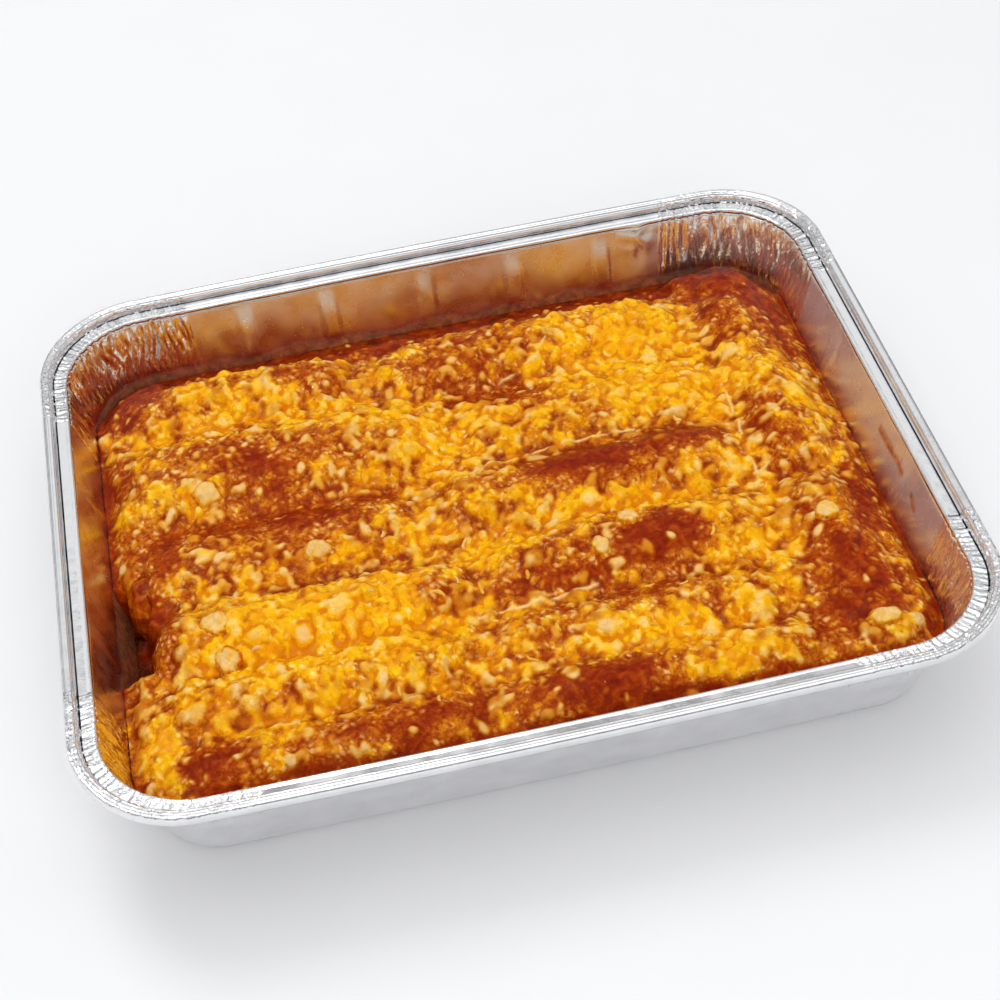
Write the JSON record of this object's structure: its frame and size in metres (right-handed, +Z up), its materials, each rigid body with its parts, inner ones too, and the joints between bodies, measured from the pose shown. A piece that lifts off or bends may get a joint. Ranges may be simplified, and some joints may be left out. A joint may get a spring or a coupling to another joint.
{
  "type": "tray of baked enchiladas",
  "caption": "Baked enchiladas in red sauce under melted cheese, packed side by side in a rectangular foil tray with a rolled rim.",
  "frame": {"origin": "middle of the tray's flat underside, on the surface it stands on", "axes": "+X along the tray's long side, +Y towards its back long side, +Z up"},
  "size_m": [0.324, 0.2676, 0.0556],
  "materials": {
    "foil": "bright thin foil, pleated at the corners",
    "sauce": "wet dark red sauce",
    "sauced_tortilla": "soft tortilla soaked in red sauce",
    "melted_cheese": "melted shredded cheese, oily",
    "pale_cheese": "thick pale lumps of melted cheese"
  },
  "bodies": {
    "root": {"tray": "foil", "sauce": "sauce", "enchilada_left_1": "sauced_tortilla", "enchilada_left_2": "sauced_tortilla", "enchilada_left_3": "sauced_tortilla", "enchilada_left_4": "sauced_tortilla", "enchilada_left_5": "sauced_tortilla", "enchilada_left_6": "sauced_tortilla", "enchilada_right_1": "sauced_tortilla", "enchilada_right_2": "sauced_tortilla", "enchilada_right_3": "sauced_tortilla", "enchilada_right_4": "sauced_tortilla", "enchilada_right_5": "sauced_tortilla", "enchilada_right_6": "sauced_tortilla", "enchilada_side_back": "sauced_tortilla", "enchilada_side_front": "sauced_tortilla", "cheese": "melted_cheese", "cheese_lump_1": "pale_cheese", "cheese_lump_2": "pale_cheese", "cheese_lump_3": "pale_cheese", "cheese_lump_4": "pale_cheese", "cheese_lump_5": "pale_cheese", "cheese_lump_6": "pale_cheese", "cheese_lump_7": "pale_cheese", "cheese_lump_8": "pale_cheese"}
  },
  "joints": []
}
